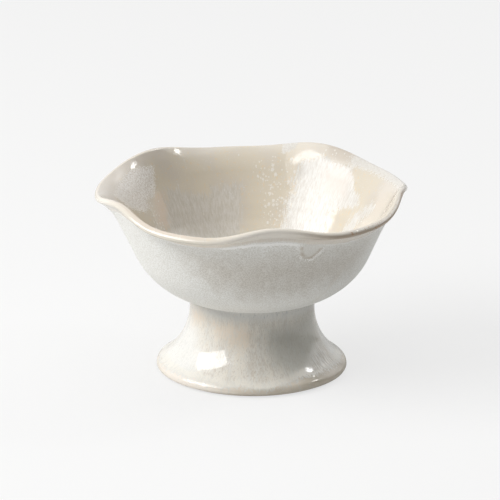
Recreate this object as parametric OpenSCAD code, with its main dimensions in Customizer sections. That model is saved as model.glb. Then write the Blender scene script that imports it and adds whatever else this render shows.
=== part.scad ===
// Footed compote bowl in stoneware. The bowl, with its petalled lip, and the hollow flared foot
// are thrown apart, luted together with slip and covered by four coats of glaze.
// The foot stands on Z = 0, the bowl's axis is Z, and sizes are in millimetres, glaze included.

/* [Bowl] */
// Height of the crease where the bowl meets the foot
joint_h = 40.2; // [34:0.1:50]
// Slope of the bowl's underside at the crease, from vertical
joint_angle = 77; // [60:1:84]
// Radius of the belly's curve in section
belly_r = 42.3; // [32:0.1:60]
// Slope of the straight wall above the belly, from vertical
wall_angle = 26; // [15:1:40]
// Length of the straight wall between the belly and the lip
wall_len = 22; // [12:0.2:32]
// Thickness of the floor
floor_t = 5.2; // [3.5:0.1:8]
// Thickness of the wall at the top of the belly
wall_t = 4; // [2.5:0.1:6]

/* [Lip] */
// Number of petals round the lip
petals = 5; // [3:1:8]
// Thickness of the lip, which is rounded over at its end
lip_t = 3; // [2:0.1:5]
// Length of the lip's curve at the middle of a petal
petal_len = 13.4; // [9:0.1:20]
// Slope of the lip's end at the middle of a petal, from vertical
petal_angle = 69; // [45:1:85]
// Length of the lip's curve at the corner between two petals
corner_len = 17; // [9:0.1:24]
// Slope of the lip's end at the corner between two petals, from vertical
corner_angle = 29.5; // [5:0.5:45]
// Narrowness of the corners, where 1 gives a plain wave
corner_power = 1.75; // [0.75:0.05:3]
// Turn of the first corner about the axis, from +X
corner_turn = -81; // [-90:1:90]

/* [Foot] */
// Radius of the foot at its widest place
foot_r = 49.2; // [41:0.1:60]
// Height of the widest place above the table
foot_edge_h = 2.3; // [1.8:0.1:5]
// Radius of the rounded shoulder above the widest place
shoulder_r = 3.5; // [1.5:0.1:8]
// Radius of the neck at the crease
neck_r = 32.2; // [24:0.1:38]
// Length of the straight neck under the crease
neck_len = 6.5; // [3.5:0.1:9]
// Thickness of the neck's wall
foot_wall = 5; // [3:0.1:8]
// Distance from the widest place in to the flat ring that stands on the table
ring_inset = 4.7; // [2:0.1:7]
// Width of the flat ring
ring_w = 3.2; // [1.5:0.1:5]
// Width and height of the bevel along the inside of the flat ring
ring_bevel = 1.6; // [0.5:0.1:3]

/* [Coats] */
// Thickness of each coat of glaze
glaze_t = 0.45; // [0.2:0.05:0.6]
// Thickness of the slip in the joint
slip_t = 0.6; // [0.6:0.05:1.5]
// Width of the inner glaze's lap down the outside of the lip
lap_w = 7; // [3:0.1:8]
// Height above the table at which the glaze on the foot stops
foot_glaze_h = 1.3; // [0.5:0.1:1.7]

/* [Hidden] */

// Steps along the curves
$fn = 96;
petal_steps = 14;
floor_steps = 2;
belly_steps = 6;
lip_steps = 2;
round_steps = 5;
profile_steps = 8;
segments = petals * petal_steps;

// Underside of the bowl: one arc from the axis to the crease, in line with the belly
underside_turn = 90 - joint_angle;
underside_r = neck_r / sin(underside_turn);
underside_z = joint_h - underside_r * (1 - cos(underside_turn));

// Seat in the joint, below the bowl's clay by the thickness of the slip
seat_depth = glaze_t - slip_t;
hollow_r = neck_r - foot_wall;
hollow_turn = asin((hollow_r + glaze_t) / (underside_r - seat_depth));
hollow_face_turn = asin(hollow_r / underside_r);

// Outside of the foot: an ogee of two arcs between the widest place and the neck
neck_z = joint_h - neck_len;
ogee_w = foot_r - neck_r;
ogee_h = neck_z - foot_edge_h;
ogee_turn = 2 * atan(ogee_w / ogee_h);
flare_r = ogee_h / sin(ogee_turn) - shoulder_r;
foot_glaze_turn = acos(1 - foot_glaze_h / foot_edge_h);

// Inside of the foot: one arc from the neck to the bevel of the ring
ring_r = foot_r - ring_inset;
ring_inner_r = ring_r - ring_w;
hollow_w = ring_inner_r - ring_bevel - hollow_r;
hollow_h = neck_z - ring_bevel;
hollow_arc_r = (pow(hollow_w, 2) + pow(hollow_h, 2)) / (2 * hollow_w);
hollow_arc_turn = asin(hollow_h / hollow_arc_r);

function mix(low, high, share) = low + (high - low) * share;

function reverse(list) = [for (i = [len(list) - 1 : -1 : 0]) list[i]];

// Unit steps in section: up along a wall of a given slope, and through it from outside to inside
function up_along(slope) = [sin(slope), cos(slope)];

function inward(slope) = [-cos(slope), sin(slope)];

// Points of an arc after its start
function arc_on(centre, radius, from, to) = [
    for (i = [1 : profile_steps])
        let (turn = mix(from, to, i / profile_steps))
        centre + radius * [cos(turn), sin(turn)]
];

// A place on the bowl's wall is its outside point in section, its slope and its thickness
function underside_place(turn) = [
    [underside_r * sin(turn), underside_z + underside_r * (1 - cos(turn))],
    90 - turn,
    floor_t
];

belly_centre = [neck_r, joint_h] + belly_r * inward(joint_angle);

function belly_place(share) =
    let (slope = mix(joint_angle, wall_angle, share))
    [belly_centre - belly_r * inward(slope), slope, mix(floor_t, wall_t, share)];

// The lip bends on from the straight wall: far out at a petal, hardly at a corner
wall_top = belly_place(1)[0] + wall_len * up_along(wall_angle);

function corner_share(turn) = pow((1 + cos(petals * (turn - corner_turn))) / 2, corner_power);

function lip_len(turn) = mix(petal_len, corner_len, corner_share(turn));

function lip_bend(turn) = mix(petal_angle, corner_angle, corner_share(turn)) - wall_angle;

function chord_share(bend) = bend == 0 ? 1 : sin(bend / 2) / (bend / 2 * PI / 180);

function lip_place(share, turn) =
    let (bend = lip_bend(turn) * share)
    let (chord = lip_len(turn) * share * chord_share(bend))
    [wall_top + chord * up_along(wall_angle + bend / 2), wall_angle + bend, lip_t];

// Points at a depth under the outside or the inside of a place
function outside(place, depth) = place[0] + depth * inward(place[1]);

function inside(place, depth) = place[0] + (place[2] - depth) * inward(place[1]);

// Places on the wall from the axis outwards, in three runs
function underside_places() = [
    for (i = [1 : floor_steps]) underside_place(hollow_turn * i / floor_steps)
];

function lap_share(turn) = 1 - lap_w / lip_len(turn);

function sprayed_places(turn) = concat(
    [for (i = [0 : belly_steps]) belly_place(i / belly_steps)],
    [for (i = [0 : lip_steps]) lip_place(lap_share(turn) * i / lip_steps, turn)]
);

function lap_places(turn) = [
    for (i = [1 : lip_steps]) lip_place(mix(lap_share(turn), 1, i / lip_steps), turn)
];

function lapped_places(turn) = concat([lip_place(lap_share(turn), turn)], lap_places(turn));

function wall_places(turn) = concat(underside_places(), sprayed_places(turn), lap_places(turn));

// Half circle over the lip's end, from outside to inside
function lip_round(turn, depth) =
    let (end = lip_place(1, turn))
    let (middle = outside(end, lip_t / 2))
    [
        for (i = [1 : round_steps - 1])
            let (roll = 180 * i / round_steps)
            middle + (lip_t / 2 - depth) * (up_along(end[1]) * sin(roll) - inward(end[1]) * cos(roll))
    ];

// Sections of the petalled solids at a turn about the axis
function body_section(turn) = concat(
    [for (place = wall_places(turn)) outside(place, glaze_t)],
    lip_round(turn, glaze_t),
    reverse([for (place = wall_places(turn)) inside(place, glaze_t)])
);

function inner_glaze_section(turn) = concat(
    [for (place = wall_places(turn)) inside(place, 0)],
    reverse(lip_round(turn, 0)),
    reverse([for (place = lapped_places(turn)) outside(place, 0)]),
    [for (place = lapped_places(turn)) outside(place, glaze_t)],
    lip_round(turn, glaze_t),
    reverse([for (place = wall_places(turn)) inside(place, glaze_t)])
);

function outer_glaze_section(turn) = concat(
    [for (place = sprayed_places(turn)) outside(place, glaze_t)],
    reverse([for (place = sprayed_places(turn)) outside(place, 0)])
);

function segment_turn(segment) = corner_turn + 360 * segment / segments;

function spun(point, turn) = [point.x * cos(turn), point.x * sin(turn), point.y];

// Solid lofted round the axis through one section per segment. A section that starts and ends
// on the axis gives the heights of those two poles, and any other section is a closed loop.
// A section that runs clockwise is lofted as a coat.
module petalled(sections, poles = [], coat = false) {
    rings = len(sections[0]);
    closed = len(poles) == 0;
    first_pole = rings * segments;
    last_pole = first_pole + 1;
    ring_points = [
        for (ring = [0 : rings - 1])
            for (segment = [0 : segments - 1])
                spun(sections[segment][ring], segment_turn(segment))
    ];
    function corner(ring, segment) = (ring % rings) * segments + segment % segments;
    strips = [
        for (ring = [0 : closed ? rings - 1 : rings - 2])
            for (segment = [0 : segments - 1])
                each [
                    [corner(ring, segment), corner(ring + 1, segment), corner(ring + 1, segment + 1)],
                    [corner(ring, segment), corner(ring + 1, segment + 1), corner(ring, segment + 1)]
                ]
    ];
    caps = closed ? [] : [
        for (segment = [0 : segments - 1])
            each [
                [first_pole, corner(0, segment), corner(0, segment + 1)],
                [corner(rings - 1, segment), last_pole, corner(rings - 1, segment + 1)]
            ]
    ];
    faces = concat(strips, caps);
    polyhedron(
        points = concat(ring_points, [for (height = poles) [0, 0, height]]),
        faces = coat ? [for (face = faces) reverse(face)] : faces
    );
}

function all_segments() = [for (segment = [0 : segments - 1]) segment_turn(segment)];

// Outside of the foot from the turn where it starts on the rounded edge up to the seat
function seat_z(radius) =
    let (low = outside(underside_place(hollow_turn), seat_depth))
    let (high = outside(belly_place(0), seat_depth))
    mix(low.y, high.y, (radius - low.x) / (high.x - low.x));

function foot_edge(depth, from) = [
    for (i = [0 : profile_steps])
        let (turn = mix(from, 90, i / profile_steps))
        [ring_r + (foot_r - depth - ring_r) * sin(turn), foot_edge_h * (1 - cos(turn))]
];

function foot_outside(depth, from) = concat(
    foot_edge(depth, from),
    arc_on([foot_r - shoulder_r, foot_edge_h], shoulder_r - depth, 0, ogee_turn),
    arc_on([neck_r + flare_r, neck_z], flare_r + depth, 180 + ogee_turn, 180),
    [[neck_r - depth, seat_z(neck_r - depth)]]
);

// Inside of the foot from the straight neck down to the bevel
function foot_inside(depth) = concat(
    [[hollow_r + depth, neck_z]],
    arc_on([hollow_r + hollow_arc_r, neck_z], hollow_arc_r - depth, 180, 180 + hollow_arc_turn)
);

// Clay of the bowl
module bowl_body() {
    color("#cdb9a0")
        petalled(
            [for (turn = all_segments()) body_section(turn)],
            [underside_z + glaze_t, underside_z + floor_t - glaze_t]
        );
}

// Clay of the foot, hollow from the ring to the bowl's underside
module foot_body() {
    color("#c9b49a")
        rotate_extrude()
            polygon(concat(
                [[ring_inner_r, 0]],
                foot_outside(glaze_t, 0),
                [[hollow_r + glaze_t, seat_z(hollow_r + glaze_t)]],
                foot_inside(glaze_t)
            ));
}

// Ring of slip that joins the bowl to the top of the foot
module luting_slip() {
    color("#b9a58b")
        rotate_extrude()
            polygon([
                outside(underside_place(hollow_turn), seat_depth),
                outside(belly_place(0), seat_depth),
                outside(belly_place(0), glaze_t),
                outside(underside_place(hollow_turn), glaze_t)
            ]);
}

// Glossy coat inside the bowl, over the lip and down to the edge of its lap
module bowl_inner_glaze() {
    color("#e9e0d0")
        petalled(
            [for (turn = all_segments()) inner_glaze_section(turn)],
            [underside_z + floor_t, underside_z + floor_t - glaze_t],
            coat = true
        );
}

// Satin coat sprayed on the outside of the bowl, from the lap down to the crease
module bowl_outer_glaze() {
    color("#dcdad3")
        petalled([for (turn = all_segments()) outer_glaze_section(turn)], coat = true);
}

// Glossy coat on the outside of the foot, clear of the table
module foot_outer_glaze() {
    color("#e6dccb")
        rotate_extrude()
            polygon(concat(
                foot_outside(glaze_t, foot_glaze_turn),
                reverse(foot_outside(0, foot_glaze_turn))
            ));
}

// Coat inside the hollow of the foot and under the bowl
module foot_inner_glaze() {
    color("#e2d8c8")
        rotate_extrude()
            polygon(concat(
                [[0, underside_z + glaze_t]],
                [for (place = underside_places()) outside(place, glaze_t)],
                [outside(underside_place(hollow_turn), seat_depth)],
                foot_inside(glaze_t),
                reverse(foot_inside(0)),
                [
                    for (i = [floor_steps : -1 : 0])
                        outside(underside_place(hollow_face_turn * i / floor_steps), 0)
                ]
            ));
}

bowl_body();
foot_body();
luting_slip();
bowl_inner_glaze();
bowl_outer_glaze();
foot_outer_glaze();
foot_inner_glaze();
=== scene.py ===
"""Looks of the footed compote bowl: its clay, slip and glaze coats, and the studio around it.

Every piece is lofted round the Z axis from sections in millimetres. A turn is an angle about Z
from +X, and a rise is a length in millimetres up a wall: from the crease with the foot on the
bowl, and from the widest place on the foot.
"""

import math
from typing import NamedTuple

import bpy
import numpy as np
from mathutils import Euler, Matrix, Vector

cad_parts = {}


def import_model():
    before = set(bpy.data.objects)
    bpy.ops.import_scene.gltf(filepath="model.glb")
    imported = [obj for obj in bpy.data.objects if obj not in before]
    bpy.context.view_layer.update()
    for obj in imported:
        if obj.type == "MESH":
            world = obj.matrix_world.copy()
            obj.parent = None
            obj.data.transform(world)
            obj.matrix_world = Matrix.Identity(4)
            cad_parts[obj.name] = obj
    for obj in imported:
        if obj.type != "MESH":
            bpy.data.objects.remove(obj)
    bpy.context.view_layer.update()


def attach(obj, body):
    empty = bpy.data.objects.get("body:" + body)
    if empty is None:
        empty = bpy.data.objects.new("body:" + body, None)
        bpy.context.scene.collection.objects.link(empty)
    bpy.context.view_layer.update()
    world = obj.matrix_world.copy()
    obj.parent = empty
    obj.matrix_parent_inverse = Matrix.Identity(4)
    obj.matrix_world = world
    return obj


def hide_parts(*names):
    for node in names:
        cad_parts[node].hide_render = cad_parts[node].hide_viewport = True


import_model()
MM = 0.001

# Bowl, as in the solids
JOINT_H = 40.2
JOINT_ANGLE = math.radians(77)
BELLY_R = 42.3
WALL_ANGLE = math.radians(26)
WALL_LEN = 22.0
FLOOR_T = 5.2
WALL_T = 4.0

# Lip, as in the solids
PETALS = 5
LIP_T = 3.0
PETAL_LEN = 13.4
PETAL_ANGLE = math.radians(69)
CORNER_LEN = 17.0
CORNER_ANGLE = math.radians(29.5)
CORNER_POWER = 1.75
CORNER_TURN = math.radians(-81)

# Marks of the hand on the lip, one value for each corner or for the petal after it
CORNER_SHIFTS = np.radians([-1.2, 0.0, -0.4, -0.8, 2.6])
PETAL_TILTS = np.radians([-0.9, 1.8, -7.1, 2.2, 1.1])
FLAT_TURN = math.radians(346)
FLAT_W = math.radians(32)
FLAT_SHIFT = 1.2
FLAT_RISE = 25.0

# Roll of the lip's end, over the plain thickness of the solids: a top that leans inwards, and a
# bead outside that is larger on the front left
ROLL_LEN = 3.0
ROLL_SKEW = 0.05
ROLL_SKEW_MORE = 0.27
BEAD = 0.4
BEAD_MORE = 0.7
BEAD_TURNS = (194, 222, 246, 275)

# Foot, as in the solids
FOOT_R = 49.2
FOOT_EDGE_H = 2.3
SHOULDER_R = 3.5
NECK_R = 32.2
NECK_LEN = 6.5
FOOT_WALL = 5.0
RING_INSET = 4.7
RING_W = 3.2
RING_BEVEL = 1.6

# Coats, as in the solids
GLAZE_T = 0.45
SLIP_T = 0.6
FOOT_GLAZE_H = 1.3

# Steps of the meshes
BOWL_SEGMENTS = 400
FOOT_SEGMENTS = 320
ROW_LEN = 0.7
FOOT_ROW_LEN = 0.42
HIDDEN_ROW_LEN = 2.5
HIDDEN_BOWL_ROW_LEN = 4.0
ROUND_ROWS = 20
LAP_ROWS = 30
LAP_END_ROWS = 6
FOOT_BEAD_ROWS = 6
FILLET_ROWS = 8
HOLLOW_ROWS = 30
BEHIND_ROWS = 12

# Worked out from the sizes above
UNDERSIDE_TURN = math.pi / 2 - JOINT_ANGLE
UNDERSIDE_R = NECK_R / math.sin(UNDERSIDE_TURN)
UNDERSIDE_Z = JOINT_H - UNDERSIDE_R * (1 - math.cos(UNDERSIDE_TURN))
FLOOR_LEN = UNDERSIDE_R * UNDERSIDE_TURN
BELLY_LEN = BELLY_R * (JOINT_ANGLE - WALL_ANGLE)
BELLY_CENTRE_R = NECK_R - BELLY_R * math.cos(JOINT_ANGLE)
BELLY_CENTRE_Z = JOINT_H + BELLY_R * math.sin(JOINT_ANGLE)
LIP_RISE = BELLY_LEN + WALL_LEN
LIP_MEAN_LEN = (PETAL_LEN + CORNER_LEN) / 2
END_RISE = LIP_RISE + LIP_MEAN_LEN
SEAT_DEPTH = GLAZE_T - SLIP_T
HOLLOW_R = NECK_R - FOOT_WALL
HOLLOW_TURN = math.asin((HOLLOW_R + GLAZE_T) / (UNDERSIDE_R - SEAT_DEPTH))
HOLLOW_FACE_TURN = math.asin(HOLLOW_R / UNDERSIDE_R)
NECK_Z = JOINT_H - NECK_LEN
OGEE_TURN = 2 * math.atan((FOOT_R - NECK_R) / (NECK_Z - FOOT_EDGE_H))
FLARE_R = (NECK_Z - FOOT_EDGE_H) / math.sin(OGEE_TURN) - SHOULDER_R
SHOULDER_LEN = SHOULDER_R * OGEE_TURN
FLARE_LEN = FLARE_R * OGEE_TURN
NECK_RISE = SHOULDER_LEN + FLARE_LEN
CREASE_RISE = NECK_RISE + NECK_LEN
RING_R = FOOT_R - RING_INSET
RING_INNER_R = RING_R - RING_W
HOLLOW_W = RING_INNER_R - RING_BEVEL - HOLLOW_R
HOLLOW_H = NECK_Z - RING_BEVEL
HOLLOW_ARC_R = (HOLLOW_W**2 + HOLLOW_H**2) / (2 * HOLLOW_W)
HOLLOW_ARC_TURN = math.asin(HOLLOW_H / HOLLOW_ARC_R)


def mix(low, high, share):
    return low + (high - low) * share


def smooth(value, low, high):
    """0 below low and 1 above high, with a smooth step between them."""
    share = np.clip((value - low) / (high - low), 0, 1)
    return share * share * (3 - 2 * share)


def near(distance, full, none):
    """1 up to the full distance and 0 past the other, with a smooth step between them."""
    return smooth(-distance, -none, -full)


def wrapped(angle):
    """The same angle, from -pi to pi."""
    return np.mod(angle + math.pi, 2 * math.pi) - math.pi


def round_axis(turn, points):
    """Value at each turn along straight lines between points of (turn in degrees, value)."""
    degrees, values = zip(*points)
    return np.interp(np.degrees(turn), degrees, values, period=360)


def waves(turn, parts):
    """Sum of waves round the axis, each with its count, phase and height."""
    return sum(height * np.sin(count * turn + phase) for count, phase, height in parts)


# Sections of the bowl


class Place(NamedTuple):
    """Points on the outside of the bowl's wall in section, with its slope and thickness there."""

    r: np.ndarray
    z: np.ndarray
    slope: np.ndarray
    thick: np.ndarray


def at_depth(place, depth):
    """Points in section under the outside of a place, or over it at a negative depth."""
    return place.r - depth * np.cos(place.slope), place.z + depth * np.sin(place.slope)


def inside(place, depth):
    return at_depth(place, place.thick - depth)


def underside_place(turn):
    r, z = UNDERSIDE_R * np.sin(turn), UNDERSIDE_Z + UNDERSIDE_R * (1 - np.cos(turn))
    return Place(r, z, math.pi / 2 - turn, FLOOR_T + 0 * turn)


def belly_place(share):
    slope = mix(JOINT_ANGLE, WALL_ANGLE, share)
    r, z = BELLY_CENTRE_R + BELLY_R * np.cos(slope), BELLY_CENTRE_Z - BELLY_R * np.sin(slope)
    return Place(r, z, slope, mix(FLOOR_T, WALL_T, share))


def wall_place(share):
    start, up = belly_place(1.0), share * WALL_LEN
    r, z = start.r + up * math.sin(WALL_ANGLE), start.z + up * math.cos(WALL_ANGLE)
    return Place(r, z, WALL_ANGLE + 0 * share, mix(WALL_T, LIP_T, share))


def lip_wave(turn):
    """(share of a corner, end slope of the lip) at each turn, from corner to corner."""
    regular = CORNER_TURN + 2 * math.pi * np.arange(PETALS) / PETALS
    corners = regular + CORNER_SHIFTS
    starts = corners - corners[0]
    ends = np.append(starts[1:], 2 * math.pi)
    along = np.mod(turn - corners[0], 2 * math.pi)
    petal = np.searchsorted(starts, along, side="right") - 1
    share = (along - starts[petal]) / (ends[petal] - starts[petal])
    corner = ((1 + np.cos(2 * math.pi * share)) / 2) ** CORNER_POWER
    return corner, mix(PETAL_ANGLE + PETAL_TILTS[petal], CORNER_ANGLE, corner)


def lip_place(share, turn):
    corner, end_slope = lip_wave(turn)
    bend = (end_slope - WALL_ANGLE) * share
    chord = mix(PETAL_LEN, CORNER_LEN, corner) * share * np.sinc(bend / (2 * math.pi))
    start, middle = wall_place(1.0), WALL_ANGLE + bend / 2
    r, z = start.r + chord * np.sin(middle), start.z + chord * np.cos(middle)
    return Place(r, z, WALL_ANGLE + bend, LIP_T + 0 * bend)


def bowl_place(rise, turn):
    """Place at a rise and a turn, from the middle of the floor at -FLOOR_LEN to the lip's end."""
    rise, turn = np.broadcast_arrays(rise, turn)
    runs = [
        underside_place(UNDERSIDE_TURN * np.clip(1 + rise / FLOOR_LEN, 0, 1)),
        belly_place(np.clip(rise / BELLY_LEN, 0, 1)),
        wall_place(np.clip((rise - BELLY_LEN) / WALL_LEN, 0, 1)),
        lip_place(np.clip((rise - LIP_RISE) / LIP_MEAN_LEN, 0, 1), turn),
    ]
    run = np.searchsorted([0, BELLY_LEN, LIP_RISE], rise, side="right")
    r, z, slope, thick = (np.choose(run, [place[i] for place in runs]) for i in range(4))
    return Place(r - flat_side(rise, turn), z, slope, thick)


def flat_side(rise, turn):
    """Inward shift of the upper wall where the bowl is a little out of round, on the right."""
    off = wrapped(turn - FLAT_TURN) / FLAT_W
    return FLAT_SHIFT * np.exp(-(off**2)) * smooth(rise, FLAT_RISE, LIP_RISE)


def window(turn, turns):
    """Share that rises from the first turn to the second and falls from the third to the fourth."""
    first, full, last, end = np.radians(turns)
    turn = first + np.mod(turn - first, 2 * math.pi)
    return smooth(turn, first, full) * (1 - smooth(turn, last, end))


def bead_swell(turn):
    return BEAD + BEAD_MORE * window(turn, BEAD_TURNS)


def lip_swell(rise, turn):
    """Swelling of the outside towards the rolled end of the lip."""
    return bead_swell(turn) * smooth(rise, END_RISE - ROLL_LEN, END_RISE)


def lip_round(turn, inner, outer, rows):
    """Points over the lip's end, from inside to outside, at depths under its plain faces."""
    end = bowl_place(END_RISE, turn)
    half = (LIP_T - inner - outer) / 2
    middle_r, middle_z = at_depth(end, outer + half)
    roll = math.pi * np.arange(1, rows)[:, None] / rows
    skew = ROLL_SKEW + ROLL_SKEW_MORE * window(turn, BEAD_TURNS)
    along = (LIP_T / 2 - inner) * np.sin(roll) * (1 - skew * np.cos(roll))
    across = half * np.cos(roll)
    r = middle_r + along * np.sin(end.slope) - across * np.cos(end.slope)
    z = middle_z + along * np.cos(end.slope) + across * np.sin(end.slope)
    return r, z


# Sections of the foot


def foot_outside(rise, depth):
    """Points on the foot's outside at each rise, from the rounded edge, below 0, to the crease."""
    rise, depth = np.broadcast_arrays(rise, depth)
    edge = math.pi / 2 * np.clip(1 + rise / FOOT_EDGE_H, 0, 1)
    shoulder = np.clip(rise / SHOULDER_R, 0, OGEE_TURN)
    flare = math.pi + OGEE_TURN - np.clip((rise - SHOULDER_LEN) / FLARE_R, 0, OGEE_TURN)
    run = np.searchsorted([0, SHOULDER_LEN, NECK_RISE], rise, side="right")
    r = [
        RING_R + (FOOT_R - depth - RING_R) * np.sin(edge),
        FOOT_R - SHOULDER_R + (SHOULDER_R - depth) * np.cos(shoulder),
        NECK_R + FLARE_R + (FLARE_R + depth) * np.cos(flare),
        NECK_R - depth,
    ]
    z = [
        FOOT_EDGE_H * (1 - np.cos(edge)),
        FOOT_EDGE_H + (SHOULDER_R - depth) * np.sin(shoulder),
        NECK_Z + (FLARE_R + depth) * np.sin(flare),
        NECK_Z + rise - NECK_RISE,
    ]
    return np.choose(run, r), np.choose(run, z)


def foot_inside(depth):
    """Points of the foot's inside from the neck down to the bevel of the ring."""
    turn = math.pi + HOLLOW_ARC_TURN * np.linspace(0, 1, HOLLOW_ROWS)
    arc_r = HOLLOW_R + HOLLOW_ARC_R + (HOLLOW_ARC_R - depth) * np.cos(turn)
    return arc_r, NECK_Z + (HOLLOW_ARC_R - depth) * np.sin(turn)


def seat_z(radius):
    """Height of the foot's top under the slip."""
    low_r, low_z = at_depth(underside_place(HOLLOW_TURN), SEAT_DEPTH)
    high_r, high_z = at_depth(belly_place(0.0), SEAT_DEPTH)
    return mix(low_z, high_z, (radius - low_r) / (high_r - low_r))


# Meshes


FLOW_R = 60.0


class Skin:
    """Rows of points round the axis, with values of the surface at each point."""

    def __init__(self, segments):
        self.turn = 2 * math.pi * np.arange(segments) / segments
        self.rows = []
        self.fields = []

    def add(self, points, **fields):
        """Adds rows of points in section. A row may hold one value for all turns."""
        r, z = (np.atleast_1d(part) for part in points)
        if r.ndim == 1:
            r, z = r[:, None], z[:, None]
        shape = (max(len(r), len(z)), len(self.turn))
        self.rows.append(np.stack([np.broadcast_to(r, shape), np.broadcast_to(z, shape)]))
        self.fields.append(fields)

    def values(self, name, poles):
        """One field at every point, 0 where rows don't give it."""
        given = [fields.get(name, 0.0) for fields in self.fields]
        parts = [np.broadcast_to(value, rows.shape[1:]) for value, rows in zip(given, self.rows)]
        values = np.concatenate(parts).ravel()
        return np.append(values, [values[0], values[-1]] if poles else [])

    def mesh(self, name, poles):
        """Closed mesh through the rows, faces outwards: its ends meet on the axis or join each other."""
        r, z = np.concatenate(self.rows, axis=1)
        rows, segments = r.shape
        points = np.stack([r * np.cos(self.turn), r * np.sin(self.turn), z], -1).reshape(-1, 3)
        ring = np.arange(rows - 1 if poles else rows)[:, None] * segments
        next_ring = (ring + segments) % (rows * segments)
        here = np.arange(segments)
        there = (here + 1) % segments
        quads = np.stack([ring + here, next_ring + here, next_ring + there, ring + there], -1)
        faces = quads.reshape(-1, 4).tolist()
        if poles:
            first, last = rows * segments, rows * segments + 1
            ends = [[0, 0, z[0].mean()], [0, 0, z[-1].mean()]]
            points = np.concatenate([points, ends])
            bottom = (rows - 1) * segments
            for a, b in zip(here.tolist(), there.tolist()):
                faces += [[first, a, b], [last, bottom + b, bottom + a]]
        mesh = bpy.data.meshes.new(name)
        mesh.from_pydata((points * MM).tolist(), [], faces)
        if np.sum(r * np.roll(z, -1, axis=0) - np.roll(r, -1, axis=0) * z) > 0:
            mesh.flip_normals()
        self.add_attributes(mesh, poles)
        return mesh

    def add_attributes(self, mesh, poles):
        """The fields, and seamless coordinates in millimetres round the axis and up the rise."""
        turn = np.append(np.tile(self.turn, len(mesh.vertices) // len(self.turn)), [0, 0] if poles else [])
        rise = self.values("rise", poles)
        flow = np.stack([FLOW_R * np.cos(turn), FLOW_R * np.sin(turn), rise], -1)
        attribute = mesh.attributes.new("flow", "FLOAT_VECTOR", "POINT")
        attribute.data.foreach_set("vector", flow.ravel().astype(np.float32))
        for name in sorted({name for fields in self.fields for name in fields} - {"rise"}):
            attribute = mesh.attributes.new(name, "FLOAT", "POINT")
            attribute.data.foreach_set("value", self.values(name, poles).astype(np.float32))


def add_object(name, data):
    obj = bpy.data.objects.new(name, data)
    bpy.context.scene.collection.objects.link(obj)
    return obj


SHARP_ANGLE = math.radians(50)


def piece(skin, node, material, poles=False):
    """Object of a skin that stands for a CAD node."""
    mesh = skin.mesh(node + "_skin", poles)
    mesh.shade_smooth()
    mesh.set_sharp_from_angle(angle=SHARP_ANGLE)
    mesh.materials.append(material)
    obj = add_object(node + "_skin", mesh)
    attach(obj, "root")
    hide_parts(node)


def rows_between(low, high, step):
    """Rises from low to high, both of them included, about one step apart."""
    return np.linspace(low, high, max(2, round((high - low) / step) + 1))[:, None]


# Patches of glaze


class Patch(NamedTuple):
    """Outline in (turn in degrees, rise), and the millimetres on each side over which it fades."""

    outline: tuple
    fade: float


FROST = (
    # Left petal: straight on the right, feathered on the left, with a notch below
    Patch((
        (137, 68), (139, 61), (142.5, 54), (149, 54), (150, 50), (152.5, 48.5), (159, 51),
        (169, 58), (174, 66), (160, 68.5), (150, 70), (141, 69),
    ), 2.2),
    # Front left petal
    Patch(((196, 66), (199, 48), (214, 44), (222, 50), (226, 64), (210, 69)), 6.0),
)
STREAKS = (
    # Back left, with a straight edge on the right
    Patch((
        (134, 56), (131, 56), (119, 50), (112, 49), (110, 53), (96, 53.5), (96.5, 38), (99, 6),
        (140, 6), (142, 33),
    ), 3.0),
    Patch(((240, 62), (246, 40), (244, 4), (270, 4), (268, 50), (262, 67), (250, 69)), 7.0),
    Patch(((335, 44), (340, 30), (338, 4), (356, 4), (352, 34), (346, 46)), 7.0),
)
RUNS = (
    # Under the back right corner, down to the floor
    Patch((
        (69, 66.5), (69, 60), (68, 51), (66, 46), (68, 8), (48, 8), (46, 30), (49, 43), (38, 48),
        (30, 52), (33, 55.5), (37.5, 58), (41, 63.5), (45.5, 68.5), (56, 69), (60, 70),
    ), 2.6),
    # Thinner left side of it
    Patch(((70, 63), (70.5, 58), (71, 54), (69, 50), (72.5, 46), (75, 8), (60, 8), (60, 63)), 5.0),
    # Right, beside the clear triangle
    Patch(((20.5, 58), (16, 56), (25, 44), (29, 8), (37, 8), (34, 37), (31.5, 45)), 3.5),
    # Front petals
    Patch(((188, 64), (196, 44), (193, 10), (224, 6), (229, 40), (222, 44)), 8.0),
    Patch(((292, 70), (288, 44), (295, 6), (322, 6), (318, 40), (326, 57), (312, 69)), 8.0),
)
FILMS = (
    # Along the lip, from the back right corner to the right one
    Patch(((48, 78), (4, 78), (7, 72), (25, 70.5), (34, 70.5), (45, 69.5), (48, 71)), 2.2),
    # Beside the back right corner
    Patch(((79, 79), (78, 69.5), (74, 72), (69, 79)), 0.9),
)
PAINTED_SHADES = (
    # Painted shade: a darker taupe on the lip's inner top, over the highlight of the back right corner
    Patch(((60, 80), (47, 80), (45, 71.5), (52, 69.5), (58, 71.5)), 1.5),
)
DULL = (
    # Back right corner, where the glaze has gone satin over a glossy arch and beside it
    Patch((
        (75, 80), (44, 80), (46, 69.5), (56.5, 69), (60, 70.2), (65, 71.8), (68, 71.6), (71, 70),
        (74.5, 67), (76.5, 66.5),
    ), 1.4),
    Patch(((76.5, 66), (72, 64.6), (70, 65.2), (68.5, 65.6), (68, 63), (70, 55), (74, 56)), 1.4),
    # Strip between the frost and the streaks of the left petal
    Patch(((148, 56), (138, 56), (139, 30), (149, 34)), 2.5),
)
VEILS = (
    # Right petal, from the clear patch to the corner
    Patch(((24, 72), (2, 74), (-2, 60), (6, 44), (22, 40), (18, 58)), 5.0),
    # Left petal, along the lip
    Patch(((188, 80), (180, 62), (166, 66), (150, 71), (128, 71), (124, 80)), 4.0),
)
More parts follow.
